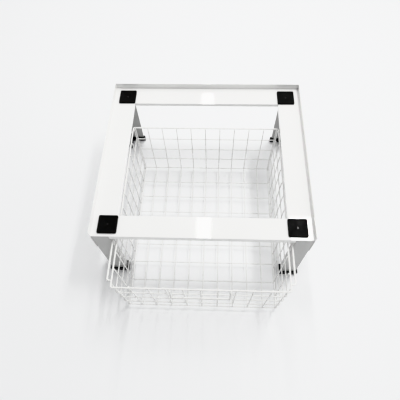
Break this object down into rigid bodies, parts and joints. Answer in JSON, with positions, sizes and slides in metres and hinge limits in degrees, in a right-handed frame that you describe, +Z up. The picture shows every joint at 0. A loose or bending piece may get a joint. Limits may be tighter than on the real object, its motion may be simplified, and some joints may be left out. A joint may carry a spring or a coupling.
{
  "type": "laundry pedestal",
  "caption": "Low white steel stand that lifts a washing machine, with an open four-rail deck, raised rim on three sides, rubber pads and a pull-out wire basket.",
  "frame": {"origin": "on the floor, under the middle of the whole as drawn with the basket partly pulled out", "axes": "+X to the right seen from the front, -Y towards the front where the basket comes out, +Z up"},
  "size_m": [0.618, 0.692, 0.306],
  "materials": {
    "enamelled_sheet": "glossy white powder coat",
    "coated_wire": "white plastic-coated wire",
    "shoe_plastic": "moulded black",
    "pad_rubber": "black, dished",
    "plated_steel": "zinc plated"
  },
  "bodies": {
    "frame": {"left_rail": "enamelled_sheet", "right_rail": "enamelled_sheet", "front_rail": "enamelled_sheet", "back_rail": "enamelled_sheet", "left_panel": "enamelled_sheet", "right_panel": "enamelled_sheet", "back_panel": "enamelled_sheet", "leg_front_left": "enamelled_sheet", "leg_front_right": "enamelled_sheet", "leg_back_left": "enamelled_sheet", "leg_back_right": "enamelled_sheet", "shoe_front_left": "shoe_plastic", "shoe_front_right": "shoe_plastic", "shoe_back_left": "shoe_plastic", "shoe_back_right": "shoe_plastic", "pad_front_left": "pad_rubber", "pad_front_right": "pad_rubber", "pad_back_left": "pad_rubber", "pad_back_right": "pad_rubber", "pad_screws": "plated_steel", "leg_rivets": "plated_steel", "channel_left": "enamelled_sheet", "channel_right": "enamelled_sheet", "channel_rivets": "plated_steel"},
    "basket": {"basket_rim": "coated_wire", "basket_hoops": "coated_wire", "basket_long_wires": "coated_wire", "basket_cross_wires": "coated_wire", "basket_side_wires": "coated_wire", "runner_left": "coated_wire", "runner_right": "coated_wire", "handle": "coated_wire"}
  },
  "joints": [
    {"name": "basket_slide", "type": "slide", "parent": "frame", "child": "basket", "axis": [0, -1, 0], "range_m": [-0.131, 0.19]}
  ]
}
